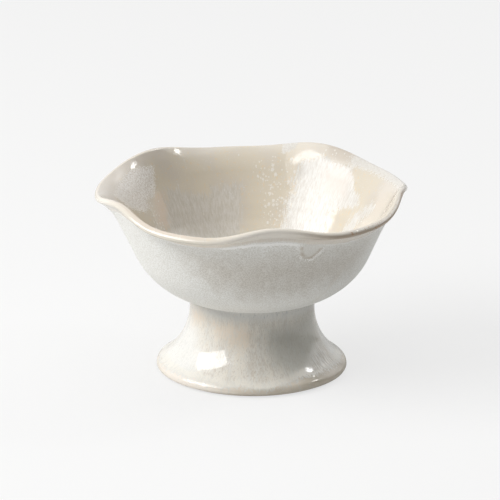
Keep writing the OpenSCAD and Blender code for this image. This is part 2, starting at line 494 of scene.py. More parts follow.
SPECKS = (
    Patch(((89, 66), (74, 68), (68, 52), (72, 26), (82, 22), (86, 46)), 8.0),
    Patch(((62, 76), (46, 75), (46, 68), (60, 69)), 3.0),
    Patch(((153, 52), (140, 52), (140, 34), (150, 36)), 4.0),
    Patch(((236, 65), (228, 60), (230, 20), (244, 24)), 6.0),
)
PEACH = (
    Patch(((142, 56), (135, 54), (140, 36), (147, 40)), 3.0),
    Patch(((57, 66), (44, 65), (42, 54), (56, 52)), 5.0),
    Patch(((283, 60), (276, 60), (274, 20), (286, 20)), 5.0),
)


def line_distance(turn, rise, line, radius):
    """Distance in millimetres from each place to a line through (turn in degrees, rise) points."""
    nearest = np.full(np.broadcast(turn, rise).shape, np.inf)
    for (turn0, rise0), (turn1, rise1) in zip(line, line[1:]):
        across, up = radius * math.radians(turn1 - turn0), rise1 - rise0
        x, y = radius * wrapped(turn - math.radians(turn0)), rise - rise0
        share = np.clip((x * across + y * up) / (across**2 + up**2), 0, 1)
        nearest = np.minimum(nearest, np.hypot(x - share * across, y - share * up))
    return nearest


def outline_distance(turn, rise, outline, radius):
    """Distance in millimetres from each place to an outline, positive inside it."""
    loop = (*outline, outline[0])
    middle = np.mean([point[0] for point in outline])
    off = np.degrees(wrapped(turn - math.radians(middle)))
    within = np.zeros(np.broadcast(turn, rise).shape, bool)
    for (turn0, rise0), (turn1, rise1) in zip(loop, loop[1:]):
        if rise0 != rise1:
            side = turn0 - middle + (rise - rise0) / (rise1 - rise0) * (turn1 - turn0)
            within ^= ((rise0 > rise) != (rise1 > rise)) & (off < side)
    nearest = line_distance(turn, rise, loop, radius)
    return np.where(within, nearest, -nearest)


def depth_in(patches, turn, rise, radius=FLOW_R):
    """Depth in the patches: 0 a fade outside an outline, 0.5 on it and 1 a fade inside it."""
    depth = np.zeros(np.broadcast(turn, rise).shape)
    for patch in patches:
        distance = outline_distance(turn, rise, patch.outline, radius)
        depth = np.maximum(depth, np.clip(0.5 + distance / (2 * patch.fade), 0, 1))
    return depth


def share_in(patches, turn, rise, radius=FLOW_R):
    """Share of the patches, with smooth edges."""
    return smooth(depth_in(patches, turn, rise, radius), 0, 1)


# Nodes of the materials


def add_node(tree, kind, settings=None, **inputs):
    """Adds a shader node. Inputs are sockets, fields or values, named with _ for a space."""
    node = tree.nodes.new("ShaderNode" + kind)
    for name, value in (settings or {}).items():
        setattr(node, name, value)
    for name, value in inputs.items():
        give(tree, node.inputs[name.replace("_", " ")], value)
    return node


def give(tree, socket, value):
    """Links a socket to a socket or to a field by its name, or sets it to a value."""
    if isinstance(value, str):
        value = field(tree, value)
    if isinstance(value, bpy.types.NodeSocket):
        tree.links.new(value, socket)
    else:
        socket.default_value = value


def srgb(red, green, blue):
    """Colour written as on a screen, 0 to 255, in linear light."""
    parts = np.array([red, green, blue]) / 255
    linear = np.where(parts <= 0.04045, parts / 12.92, ((parts + 0.055) / 1.055) ** 2.4)
    return (*linear.tolist(), 1.0)


def field(tree, name):
    """A value that the mesh holds at its points."""
    return add_node(tree, "Attribute", {"attribute_name": name}).outputs["Fac"]


def flow(tree, stretch):
    """Place on the surface in millimetres, with features drawn out up the wall by a factor."""
    place = add_node(tree, "Attribute", {"attribute_name": "flow"}).outputs["Vector"]
    scaled = add_node(tree, "VectorMath", {"operation": "MULTIPLY"})
    give(tree, scaled.inputs[0], place)
    give(tree, scaled.inputs[1], (1.0, 1.0, 1.0 / stretch))
    return scaled.outputs["Vector"]


def noise(tree, stretch, size, detail, roughness):
    """Noise with features of about a size in millimetres, drawn out up the wall by a factor."""
    place = flow(tree, stretch)
    node = add_node(tree, "TexNoise", Vector=place, Scale=1 / size, Detail=detail, Roughness=roughness)
    return node.outputs[0]


SPOT_STRETCH = 1.3
SPOT_SPAN = (0.6, 0.63)
DOT_R = 0.38
DOT_GRAIN = 0.35
DOT_TEAR = 0.7
DOT_EDGE = 0.1


def spots(tree, size, share):
    """Uneven spots of about a size, more of them where the share is near 1."""
    blotch = noise(tree, SPOT_STRETCH, size, 1, 0.4)
    return step(tree, times(tree, blotch, share), *SPOT_SPAN)


def dots(tree, size, share):
    """Round spots, at most one to each cell of a size, in more cells where the share is higher."""
    cells = add_node(tree, "TexVoronoi", Vector=flow(tree, SPOT_STRETCH), Scale=1.0 / size)
    chance = add_node(tree, "SeparateColor", Color=cells.outputs["Color"]).outputs["Red"]
    radius = calc(tree, "MINIMUM", calc(tree, "SUBTRACT", share, chance), DOT_R)
    rough = noise(tree, 1, DOT_GRAIN * size, 2, 0.6)
    edge = swing(tree, calc(tree, "SUBTRACT", radius, cells.outputs["Distance"]), rough, DOT_TEAR)
    return step(tree, edge, 0.0, DOT_EDGE)


def torn(tree, name, streak, grain, along, fine, soft):
    """Share of a patch at each place, with its edge torn by streaks and grain."""
    edge = swing(tree, swing(tree, name, streak, along), grain, fine)
    return step(tree, edge, 0.5 - soft, 0.5 + soft)


def calc(tree, operation, *values):
    node = add_node(tree, "Math", {"operation": operation})
    for socket, value in zip(node.inputs, values):
        give(tree, socket, value)
    return node.outputs[0]


def swing(tree, value, texture, amount):
    """The value moved up and down by a texture about its middle."""
    return calc(tree, "MULTIPLY_ADD", calc(tree, "SUBTRACT", texture, 0.5), amount, value)


def step(tree, value, low, high, out_low=0.0, out_high=1.0):
    """Value from one level to another, as a texture goes from low to high."""
    span = {"From_Min": low, "From_Max": high, "To_Min": out_low, "To_Max": out_high}
    node = add_node(tree, "MapRange", {"interpolation_type": "SMOOTHSTEP"}, Value=value, **span)
    return node.outputs["Result"]


def times(tree, first, second):
    return calc(tree, "MULTIPLY", first, second)


def blend(tree, share, first, second):
    """Mix of two colours, which are sockets or are written as on a screen, 0 to 255."""
    node = add_node(tree, "Mix", {"data_type": "RGBA"})
    give(tree, node.inputs[0], share)
    for index, colour in ((6, first), (7, second)):
        give(tree, node.inputs[index], srgb(*colour) if isinstance(colour, tuple) else colour)
    return node.outputs[2]


def tones(tree, texture, low, high, first, second):
    """One colour where a texture is low, another where it is high."""
    return blend(tree, step(tree, texture, low, high), first, second)


def coats(tree, colour, *layers):
    """A colour under layers, each with its share, its colour and, where it isn't 1, its strength."""
    for share, shade, *strength in layers:
        if strength:
            share = times(tree, share, strength[0])
        colour = blend(tree, share, colour, shade)
    return colour


SHADER = "Principled BSDF"
GLAZE_IOR = 1.52
CLAY_IOR = 1.5


def new_material(name):
    """(material, its node tree), with a plain shader."""
    material = bpy.data.materials.new(name)
    material.use_nodes = True
    return material, material.node_tree


def dress(material, colour, roughness, height, depth, ior=GLAZE_IOR):
    """The material with its colour, roughness and a relief whose depth is in millimetres."""
    tree = material.node_tree
    relief = add_node(tree, "Bump", Height=height, Strength=1.0, Distance=depth * MM)
    inputs = tree.nodes[SHADER].inputs
    give(tree, inputs["Base Color"], colour)
    give(tree, inputs["Roughness"], roughness)
    give(tree, inputs["IOR"], ior)
    give(tree, inputs["Normal"], relief.outputs["Normal"])
    return material


# Materials


def sprayed(tree):
    """Speckled pale grey of the sprayed coat."""
    speck = noise(tree, 1, 0.6, 2, 0.6)
    return tones(tree, speck, 0.36, 0.64, (217, 215, 208), (239, 239, 236))


def inner_glaze():
    """Glossy beige glaze with frost, streaks, white runs and specks, cream over the lip."""
    material, tree = new_material("inner_glaze")
    streak = noise(tree, 6, 0.9, 3, 0.6)
    fine = noise(tree, 7, 0.42, 2, 0.5)
    strokes = noise(tree, 5, 0.8, 3, 0.7)
    grain = noise(tree, 1, 0.6, 3, 0.7)
    cloud = noise(tree, 1.6, 14, 3, 0.5)
    drift = noise(tree, 3, 5, 3, 0.6)
    beige = tones(tree, cloud, 0.38, 0.62, (209, 201, 188), (213, 204, 187))
    cream = blend(tree, "peach", (226, 220, 210), (210, 203, 190))
    lap_cream = tones(tree, fine, 0.4, 0.6, (219, 210, 198), (224, 218, 208))
    streaks = torn(tree, "streaks", streak, grain, 2.4, 0.8, 0.25)
    grey = tones(tree, strokes, 0.3, 0.7, (199, 193, 181), (216, 212, 206))
    frost = torn(tree, "frost", streak, grain, 0.4, 2.2, 0.15)
    icy = tones(tree, grain, 0.38, 0.62, (201, 193, 183), (239, 237, 233))
    veil = step(tree, swing(tree, "veil", drift, 0.8), 0.2, 0.9, 0.0, 0.6)
    runs = torn(tree, "runs", streak, grain, 1.8, 1.4, 0.14)
    # No white runs where the shade is painted
    runs = times(tree, runs, calc(tree, "SUBTRACT", 1.0, "shade"))
    pale = tones(tree, strokes, 0.3, 0.7, (205, 200, 192), (227, 226, 222))
    pale = coats(tree, pale, ("peach", (216, 206, 197), 0.8))
    films = torn(tree, "film", streak, grain, 1.0, 2.6, 0.2)
    cloudy = tones(tree, grain, 0.35, 0.65, (209, 205, 198), (222, 220, 215))
    specks = times(tree, "specks", step(tree, drift, 0.3, 0.6, 0.2, 1.0))
    speck = calc(tree, "MAXIMUM", dots(tree, 1.2, specks), dots(tree, 2.1, specks))
    rust = spots(tree, 0.9, times(tree, "rust", 0.94))
    colour = coats(
        tree, beige,
        ("peach", (217, 202, 186)),
        (spots(tree, 1.1, 0.92), (222, 200, 164), 0.45),
        ("lip", cream),
        ("lap", lap_cream),
        (times(tree, "peach", "lap"), (226, 214, 199)),
        ("satin", sprayed(tree)),
        (streaks, grey, 0.9),
        (frost, icy, 0.9),
        (veil, (222, 214, 204)),
        (runs, pale),
        # Painted shade over the back right corner's highlight
        ("shade", (201, 191, 178), 0.7),
        (films, cloudy, 0.85),
        (speck, (230, 226, 219), 0.8),
        # Bare clay at the glaze's break on the right of the lip, made darker than the clay as painted
        # shade of the lip's outer face
        ("bare", (176, 160, 142)),
        (rust, (176, 140, 108), 0.7),
    )
    cover = calc(tree, "MAXIMUM", calc(tree, "MAXIMUM", frost, runs), films)
    dull = step(tree, cover, 0.0, 1.0, 0.06, 0.36)
    for name, more in (("lap", 0.12), ("satin", 0.2), ("dull", 0.45), ("streaks", 0.2)):
        dull = calc(tree, "MULTIPLY_ADD", name, more, dull)
    relief = swing(tree, calc(tree, "ADD", cover, times(tree, speck, 1.5)), grain, 0.6)
    return dress(material, colour, dull, relief, 0.03)


def outer_glaze():
    """Satin pale grey glaze, speckled as if sprayed, with brownish clouds and cream runs."""
    material, tree = new_material("outer_glaze")
    speck = noise(tree, 1, 0.6, 2, 0.6)
    mottle = noise(tree, 1.4, 6, 4, 0.6)
    clouds = step(tree, swing(tree, "brown", mottle, 0.7), 0.2, 1.0)
    brown = tones(tree, speck, 0.36, 0.64, (194, 188, 178), (217, 213, 205))
    cream = step(tree, swing(tree, "cream", speck, 0.8), 0.25, 0.8)
    patchy = step(tree, noise(tree, 1, 2.4, 2, 0.6), 0.36, 0.6, 0.4, 0.95)
    fringe = swing(tree, swing(tree, "fringe", speck, 1.2), mottle, 1.2)
    colour = coats(
        tree, sprayed(tree),
        (clouds, brown),
        (cream, (207, 198, 183)),
        ("drip_fill", (222, 219, 212)),
        (times(tree, "drip_edge", patchy), (188, 177, 161)),
        (step(tree, fringe, 0.4, 0.8), (248, 247, 244)),
    )
    return dress(material, colour, step(tree, speck, 0.3, 0.7, 0.5, 0.38), speck, 0.015)


def foot_glaze():
    """Glossy pale glaze that runs down in fine streaks and ends torn above a beige edge."""
    material, tree = new_material("foot_glaze")
    streak = noise(tree, 2.6, 1.1, 3, 0.6)
    grain = noise(tree, 1.4, 0.7, 3, 0.7)
    cloud = noise(tree, 2, 7, 3, 0.55)
    wisps = swing(tree, swing(tree, streak, grain, 0.6), cloud, 0.5)
    blush = swing(tree, swing(tree, "peach", cloud, 0.6), streak, 0.9)
    drift = step(tree, swing(tree, "lace", cloud, 1.2), 0.3, 0.9, 0.0, 0.7)
    lines = step(tree, noise(tree, 7, 0.9, 2, 0.6), 0.42, 0.58, 0.0, 0.85)
    pale = coats(
        tree, tones(tree, cloud, 0.35, 0.65, (221, 218, 210), (226, 221, 210)),
        (step(tree, wisps, 0.54, 0.36), (197, 187, 172), 0.6),
        (spots(tree, 0.9, 0.95), (180, 166, 150), 0.45),
        ("white", (233, 233, 230), 0.7),
        (step(tree, blush, 0.0, 0.9), (222, 209, 192)),
        ("pool", (218, 218, 215), 0.7),
        # Painted shade and painted dark reflection on the foot's front right
        ("grey", (194, 193, 185), 0.7),
        (drift, (230, 226, 216)),
        (times(tree, lines, "combed"), (164, 155, 140)),
    )
    finger = noise(tree, 1.6, 2.2, 2, 0.5)
    end = swing(tree, swing(tree, "runs", finger, 1.6), grain, 2.6)
    runs = step(tree, end, 0.3, 0.7)
    lace = times(tree, runs, step(tree, end, 0.95, 0.6))
    dash = times(tree, noise(tree, 2.5, 1.6, 2, 0.6), "pool")
    colour = coats(
        tree, tones(tree, cloud, 0.38, 0.62, (219, 210, 195), (212, 202, 186)),
        ("blush", (229, 221, 210)),
        # Darker base colour low on the right of the foot
        ("thin", (182, 172, 154)),
        (runs, pale),
        (lace, (212, 214, 211), 0.6),
        (step(tree, dash, 0.58, 0.68), (166, 170, 172), 0.5),
    )
    relief = calc(tree, "MULTIPLY_ADD", times(tree, lace, grain), 1.6, runs)
    swell = noise(tree, 2, 9, 0, 0.5)
    relief = swing(tree, swing(tree, relief, streak, 0.05), swell, 3.0)
    return dress(material, colour, step(tree, runs, 0.0, 1.0, 0.06, 0.03), relief, 0.02)


def hollow_glaze():
    """Thin glossy coat inside the foot."""
    material, tree = new_material("hollow_glaze")
    cloud = noise(tree, 2, 7, 4, 0.6)
    grain = noise(tree, 1, 0.8, 3, 0.6)
    colour = coats(
        tree, tones(tree, cloud, 0.35, 0.65, (217, 206, 188), (228, 221, 208)),
        (step(tree, grain, 0.6, 0.72), (235, 231, 222)),
    )
    return dress(material, colour, step(tree, grain, 0.3, 0.7, 0.18, 0.3), grain, 0.03)


def stoneware(name, light, dark):
    """Bare fired clay with iron specks."""
    material, tree = new_material(name)
    grain = noise(tree, 1, 0.6, 5, 0.7)
    iron = noise(tree, 1, 1.4, 1, 0.5)
    colour = coats(
        tree, tones(tree, grain, 0.3, 0.7, dark, light),
        (step(tree, iron, 0.7, 0.76), (126, 94, 68)),
    )
    return dress(material, colour, step(tree, grain, 0.3, 0.7, 0.75, 0.9), grain, 0.08, CLAY_IOR)


# Pieces


def bowl_body():
    """Clay of the bowl."""
    skin = Skin(BOWL_SEGMENTS)
    rise = rows_between(-FLOOR_LEN, END_RISE, HIDDEN_BOWL_ROW_LEN)[1:]
    place = bowl_place(rise, skin.turn)
    skin.add(inside(place, GLAZE_T), rise=rise)
    skin.add(lip_round(skin.turn, GLAZE_T, GLAZE_T, ROUND_ROWS // 2), rise=END_RISE)
    skin.add(at_depth(Place(*(part[::-1] for part in place)), GLAZE_T), rise=rise[::-1])
    clay = stoneware("bowl_clay", (206, 186, 160), (190, 168, 142))
    piece(skin, "bowl_body", clay, poles=True)


THROWING_RING_LEN = 6.0
THROWING_RING_DRIFT = 0.7
THROWING_RING_DEPTH = 0.03
RUN_DEPTH = 0.08


def inside_relief(turn, rise, runs):
    """Height of the inner glaze over its mean face: thicker runs and faint throwing rings."""
    rings = np.sin(2 * math.pi * rise / THROWING_RING_LEN + THROWING_RING_DRIFT * np.sin(turn))
    fade = 1 - smooth(rise, BELLY_LEN, LIP_RISE)
    return RUN_DEPTH * smooth(runs, 0, 1) + THROWING_RING_DEPTH * rings * fade


BARE_TURNS = (280, 306, 350, 360)
PEACH_TURNS = (196, 210, 246, 266)
PEACH_SHARE = 0.9
LIP_CREAM = 0.35
LIP_CREAM_LEN = 8.0


def add_inside(skin):
    """Rows of the inner glaze from the middle of the floor to the lip's end."""
    turn = skin.turn
    rise = rows_between(-FLOOR_LEN, END_RISE, ROW_LEN)[1:]
    runs = depth_in(RUNS, turn, rise)
    plain = 1 - smooth(rise, END_RISE - ROLL_LEN, END_RISE)
    relief = inside_relief(turn, rise, runs) * plain
    skin.add(
        inside(bowl_place(rise, turn), -relief),
        rise=rise,
        frost=depth_in(FROST, turn, rise),
        streaks=depth_in(STREAKS, turn, rise),
        runs=runs * plain,
        film=depth_in(FILMS, turn, rise),
        veil=depth_in(VEILS, turn, rise),
        # Share of the painted shade by the back right corner
        shade=share_in(PAINTED_SHADES, turn, rise),
        dull=share_in(DULL, turn, rise),
        specks=share_in(SPECKS, turn, rise),
        peach=PEACH_SHARE * share_in(PEACH, turn, rise),
        lip=LIP_CREAM * smooth(rise, END_RISE - LIP_CREAM_LEN, END_RISE),
    )


# Shares of the way over the lip's end, from inside to outside, at which its marks come or go
CREAM_SPAN = (0.2, 0.7)
BARE_SPAN = (0.46, 0.6)
RUST_SPAN = (0.1, 0.3)
FILM_SPAN = (0.2, 0.5)
PAINTED_SHADE_SPAN = (0.3, 0.7)


def add_lip_end(skin):
    """Rows of the inner glaze over the lip's rolled end."""
    turn = skin.turn
    share = np.linspace(0, 1, ROUND_ROWS + 1)[1:-1, None]
    skin.add(
        lip_round(turn, 0, -bead_swell(turn), ROUND_ROWS),
        rise=END_RISE + LIP_T * share,
        lip=mix(LIP_CREAM, 1, smooth(share, *CREAM_SPAN)),
        # Bare clay with painted shade, over the outer half of the lip's end on the right
        bare=window(turn, BARE_TURNS) * smooth(share, *BARE_SPAN),
        rust=window(turn, BARE_TURNS) * smooth(share, *RUST_SPAN),
        peach=PEACH_SHARE * window(turn, PEACH_TURNS),
        film=depth_in(FILMS, turn, END_RISE) * (1 - smooth(share, *FILM_SPAN)),
        # Painted shade, fading out over the lip's end
        shade=share_in(PAINTED_SHADES, turn, END_RISE) * (1 - smooth(share, *PAINTED_SHADE_SPAN)),
        dull=share_in(DULL, turn, END_RISE),
    )


LAP_EDGE = (
    # Turn in degrees and rise of the lap's lower edge
    (9, 65), (45, 63), (63, 68.5), (99, 64), (135, 67), (171, 64), (207, 70.5), (217, 68.8), (229, 66.5),
    (240, 65.2), (251, 65.2), (259, 67), (270, 68.5), (284, 68.4), (297, 66), (310, 63), (332, 62),
)
LAP_WAVES = ((23, 1.0, 0.15), (41, 2.3, 0.09))
LAP_BEAD = 0.06
GROOVE_DEPTH = 0.3
GROOVE_BELOW = 3.4
GROOVE_W = 0.9
GROOVE_TURNS = (240, 264, 336, 354)

# Millimetres under the lip's end, or over the lap's edge, at which the lap's marks come or go
LAP_TINT_SPAN = (2.0, 4.5)
LAP_BARE_SPAN = (2.0, 5.0)
LAP_SATIN_SPAN = (0.2, 1.8)


def lap_rise(turn):
    """Rise of the lap's lower edge, a little uneven."""
    return round_axis(turn, LAP_EDGE) + waves(turn, LAP_WAVES)


def add_lap(skin):
    """Rows of the inner glaze down the outside, round its lower edge and back up on the clay."""
    turn = skin.turn
    edge = lap_rise(turn)
    rise = mix(END_RISE, edge, np.linspace(0, 1, LAP_ROWS)[:, None])
    under = END_RISE - rise
    groove = GROOVE_DEPTH * np.exp(-(((under - GROOVE_BELOW) / GROOVE_W) ** 2))
    groove = groove * window(turn, GROOVE_TURNS)
    bead = LAP_BEAD * smooth(under, 0, ROLL_LEN)
    beyond = 2 * END_RISE + LIP_T
    skin.add(
        at_depth(bowl_place(rise, turn), groove - bead - lip_swell(rise, turn)),
        rise=beyond - rise,
        lip=1.0,
        lap=smooth(under, *LAP_TINT_SPAN),
        satin=1 - smooth(rise - edge, *LAP_SATIN_SPAN),
        peach=PEACH_SHARE * window(turn, PEACH_TURNS),
        # Bare clay with painted shade, near the top of the lap on the right
        bare=window(turn, BARE_TURNS) * (1 - smooth(under, *LAP_BARE_SPAN)),
    )
    roll = math.pi / 2 * np.linspace(0, 1, LAP_END_ROWS)[1:, None]
    tuck = LAP_BEAD * np.cos(roll) - GLAZE_T * (1 - np.cos(roll))
    end = edge - 2 * LAP_BEAD * np.sin(roll)
    skin.add(at_depth(bowl_place(end, turn), -tuck), rise=beyond - end, lap=1.0, satin=1.0)
    back = mix(edge, END_RISE, np.linspace(0.1, 1, LAP_END_ROWS)[:, None])
    skin.add(at_depth(bowl_place(back, turn), GLAZE_T), rise=back)


def bowl_inner_glaze():
    """Glossy coat of the inside, over the lip and down to the edge of its lap."""
    skin = Skin(BOWL_SEGMENTS)
    add_inside(skin)
    add_lip_end(skin)
    add_lap(skin)
    hidden_round = lip_round(skin.turn, GLAZE_T, GLAZE_T, ROUND_ROWS // 2)
    skin.add(tuple(part[::-1] for part in hidden_round), rise=END_RISE)
    hidden = rows_between(-FLOOR_LEN, END_RISE, HIDDEN_BOWL_ROW_LEN)[:0:-1]
    skin.add(inside(bowl_place(hidden, skin.turn), GLAZE_T), rise=hidden)
    piece(skin, "bowl_inner_glaze", inner_glaze(), poles=True)


DRIP = ((289.5, 65), (290.5, 60), (292.5, 57.4), (295, 56.8), (297.5, 59.6), (298.5, 63))
DRIP_FILL = (Patch((*DRIP, (299, 67), (289, 68)), 1.2),)
DRIP_DEPTH = 0.12
DRIP_TINT = 0.5
HALO_SHARE = 0.55
CREAM_RUN = ((316.5, 46), (313, 34), (309, 21))
CREAM_RUN_DEPTH = 0.05
CREAM_RUN_SHARE = 0.4
CREASE_CREAM_SHARE = 0.35
BROWN_CLOUDS = (
    Patch(((236, 62), (246, 38), (264, 28), (300, 30), (330, 38), (332, 60), (290, 64)), 20.0),
    Patch(((20, 56), (30, 24), (90, 22), (110, 40), (96, 58)), 9.0),
    Patch(((150, 44), (156, 22), (190, 20), (196, 40)), 9.0),
)
BROWN_SHARE = 0.9
FRINGE_TURNS = (250, 262, 286, 293)
SIDE_FRINGE_SHARE = 0.5
LAP_TUCK = 0.4


def fringe_share(turn):
    """Share of the pale fringe along the upper edge of the sprayed coat, in front and on the sides."""
    return np.maximum(window(turn, FRINGE_TURNS), SIDE_FRINGE_SHARE * smooth(np.cos(2 * turn), 0.3, 0.9))


def bowl_outer_glaze():
    """Satin coat of the outside, from the crease to under the lap's edge."""
    skin = Skin(BOWL_SEGMENTS)
    turn = skin.turn
    edge = lap_rise(turn)
    rise = rows_between(0, 1, ROW_LEN / LIP_RISE) * (edge + LAP_TUCK)
    drip = line_distance(turn, rise, DRIP, FLOW_R)
    run = line_distance(turn, rise, CREAM_RUN, FLOW_R)
    fill = share_in(DRIP_FILL, turn, rise)
    fringe = fringe_share(turn) * near(edge - rise, 0.4, 3.4)
    halo = HALO_SHARE * near(drip, 1.2, 4.5) * (1 - fill)
    relief = DRIP_DEPTH * fill + CREAM_RUN_DEPTH * near(run, 0, 3)
    skin.add(
        at_depth(bowl_place(rise, turn), -relief),
        rise=rise,
        cream=np.maximum(CREAM_RUN_SHARE * near(run, 0.5, 3.5), CREASE_CREAM_SHARE * near(rise, 0.2, 1.6)),
        drip_fill=DRIP_TINT * fill,
        drip_edge=near(drip, 0, 1.4),
        brown=BROWN_SHARE * share_in(BROWN_CLOUDS, turn, rise),
        fringe=np.maximum(fringe, halo),
    )
    back = rows_between(0, 1, HIDDEN_ROW_LEN / LIP_RISE)[::-1] * (edge + LAP_TUCK)
    skin.add(at_depth(bowl_place(back, turn), GLAZE_T), rise=back)
    piece(skin, "bowl_outer_glaze", outer_glaze())


RUN_ENDS = (
    # Turn in degrees and rise at which the runs on the foot end
    (20, 3.5), (48, 5.5), (80, 2.5), (110, 5), (140, 3), (168, 3), (190, 3), (216, 3.6), (236, 3.4),
    (244, 2.8), (249, 2.2), (257, 2.4), (264, 3.6), (273, 1.6), (282, 2), (296, 4.6), (305, 6.4),
    (317, 5.6), (335, 6), (354, 4.8),
)
FOOT_RUN_DEPTH = 0.12
FOOT_RUN_FADE = 2.2
RUN_END_BULGE = 0.6
FOOT_PEACH = (
    Patch(((192, 38), (220, 41), (222, 34), (202, 31)), 6.0),
    Patch(((226, 37), (258, 38), (272, 33), (270, 26), (252, 24), (236, 29)), 7.0),
    Patch(((60, 36), (96, 38), (90, 26), (66, 24)), 5.0),
    Patch(((140, 34), (160, 36), (158, 22), (144, 20)), 5.0),
)
FOOT_PEACH_SHARE = 0.7
# Painted shade and painted dark reflection on the foot's front right, where the glaze mirrors the dark
# room
FOOT_PAINTED_SHADE = (Patch(((284, 34), (352, 38), (345, 25), (333, 8), (300, 9), (288, 16)), 6.0),)
FOOT_WHITE = (
    Patch(((180, 30), (208, 30), (228, 16), (228, 3), (180, 2)), 6.0),
    Patch(((350, 27), (372, 27), (376, 6), (352, 5), (347, 8)), 3.0),
)
FOOT_COMBED = (Patch(((340, 23), (346, 15), (344, 7), (328, 6), (317, 8), (320, 14), (330, 18)), 3.0),)
FOOT_MEAN_R = 38.0
EDGE_BLUSH_TURNS = (170, 215, 240, 272)
EDGE_DARKER_TURNS = (296, 314, 340, 358)
POOL_PHASE = 2.2
POOL_SPAN = (CREASE_RISE - 8, CREASE_RISE - 2)
FILLET_LEN = 1.2
FILLET_MOST = 1.4
FILLET_WAVES = ((3, 1.0, 0.25), (11, 0.0, 0.15))


def pool_share(turn):
    """Share of the grey glaze that pools under the crease, most of it in front."""
    return smooth(np.sin(turn + POOL_PHASE), -0.9, 0.2)


def crease_fillet(turn):
    """Points of the glaze that pools in the crease, from the neck out onto the bowl."""
    share = np.linspace(0, 1, FILLET_ROWS)[1:, None]
    out = FILLET_LEN * (1 + waves(turn, FILLET_WAVES))
    down = (1 - share) ** 2 * out
    along = share**2 * out
    return NECK_R + along * math.sin(JOINT_ANGLE), JOINT_H - down + along * math.cos(JOINT_ANGLE)


def foot_outer_glaze():
    """Glossy coat of the foot's outside, with runs that end above the edge, clear of the table."""
    skin = Skin(FOOT_SEGMENTS)
    turn = skin.turn
    low = FOOT_EDGE_H * (math.acos(1 - FOOT_GLAZE_H / FOOT_EDGE_H) / (math.pi / 2) - 1)
    bead = math.pi / 2 * np.linspace(0, 1, FOOT_BEAD_ROWS)[:-1, None]
    skin.add(foot_outside(low + 0 * turn, GLAZE_T * np.cos(bead)), rise=low)
    rise = rows_between(low, CREASE_RISE - FILLET_LEN * FILLET_MOST, FOOT_ROW_LEN)
    over = rise - round_axis(turn, RUN_ENDS)
    bulge = near(np.abs(over - 0.4), 0.3, 2.0)
    relief = FOOT_RUN_DEPTH * mix(smooth(over, -0.6, 0.6), bulge, RUN_END_BULGE)
    skin.add(
        foot_outside(rise, -relief),
        rise=rise,
        runs=np.clip(0.5 + over / FOOT_RUN_FADE / 2, 0, 1),
        lace=smooth(over, -0.4, 1.2) * near(over, 2.5, 8),
        # Share of the painted shade on the front right
        grey=share_in(FOOT_PAINTED_SHADE, turn, rise, FOOT_MEAN_R),
        white=share_in(FOOT_WHITE, turn, rise, FOOT_MEAN_R),
        combed=share_in(FOOT_COMBED, turn, rise, FOOT_MEAN_R),
        peach=FOOT_PEACH_SHARE * share_in(FOOT_PEACH, turn, rise, FOOT_MEAN_R),
        pool=smooth(rise, *POOL_SPAN) * pool_share(turn),
        blush=window(turn, EDGE_BLUSH_TURNS),
        # Share of the darker base colour low on the right
        thin=window(turn, EDGE_DARKER_TURNS) * smooth(rise, 0.7, 3.2),
    )
    skin.add(crease_fillet(turn), rise=CREASE_RISE, runs=1.0, pool=pool_share(turn))
    skin.add(([NECK_R - GLAZE_T], [seat_z(NECK_R - GLAZE_T)]), rise=CREASE_RISE)
    hidden = rows_between(low, CREASE_RISE - FILLET_LEN, HIDDEN_ROW_LEN)[:0:-1]
    skin.add(foot_outside(hidden + 0 * turn, GLAZE_T), rise=hidden)
    piece(skin, "foot_outer_glaze", foot_glaze())


SEAT_GAP = 1.0


def foot_body():
    """Clay of the hollow foot, with its ring on the table."""
    skin = Skin(FOOT_SEGMENTS)
    rise = rows_between(-FOOT_EDGE_H, CREASE_RISE - SEAT_GAP, ROW_LEN)
    skin.add(([RING_INNER_R], [0.0]), rise=-FOOT_EDGE_H)
    skin.add(foot_outside(rise, GLAZE_T), rise=rise)
    top = np.array([NECK_R - GLAZE_T, HOLLOW_R + GLAZE_T])
    skin.add((top, seat_z(top)), rise=CREASE_RISE)
    skin.add(foot_inside(GLAZE_T), rise=0.0)
    clay = stoneware("foot_clay", (208, 188, 162), (192, 170, 144))
    piece(skin, "foot_body", clay)


def luting_slip():
    """Ring of slip between the foot's top and the bowl."""
    skin = Skin(FOOT_SEGMENTS)
    inner, outer = underside_place(HOLLOW_TURN), belly_place(0.0)
    corners = [
        at_depth(inner, SEAT_DEPTH), at_depth(outer, SEAT_DEPTH),
        at_depth(outer, GLAZE_T), at_depth(inner, GLAZE_T),
    ]
    skin.add(np.array(corners).T, rise=0.0)
    slip = stoneware("luting_slip", (196, 176, 150), (180, 158, 132))
    piece(skin, "luting_slip", slip)


def foot_inner_glaze():
    """Coat of the hollow, up its wall and across the underside of the bowl."""
    skin = Skin(FOOT_SEGMENTS)
    wall_r, wall_z = foot_inside(0)
    clay_r, clay_z = (part[::-1] for part in foot_inside(GLAZE_T))
    ceiling = underside_place(HOLLOW_FACE_TURN * np.linspace(0, 1, HOLLOW_ROWS)[1:])
    behind = underside_place(HOLLOW_TURN * np.linspace(1, 0, BEHIND_ROWS)[:-1])
    skin.add(at_depth(ceiling, 0), rise=ceiling.r[:, None])
    skin.add((wall_r, wall_z), rise=(HOLLOW_R + NECK_Z - wall_z)[:, None])
    skin.add((clay_r, clay_z), rise=(HOLLOW_R + NECK_Z - clay_z)[:, None])
    skin.add(at_depth(underside_place(np.array([HOLLOW_TURN])), SEAT_DEPTH), rise=HOLLOW_R)
    skin.add(at_depth(behind, GLAZE_T), rise=behind.r[:, None])
    piece(skin, "foot_inner_glaze", hollow_glaze(), poles=True)


# Studio

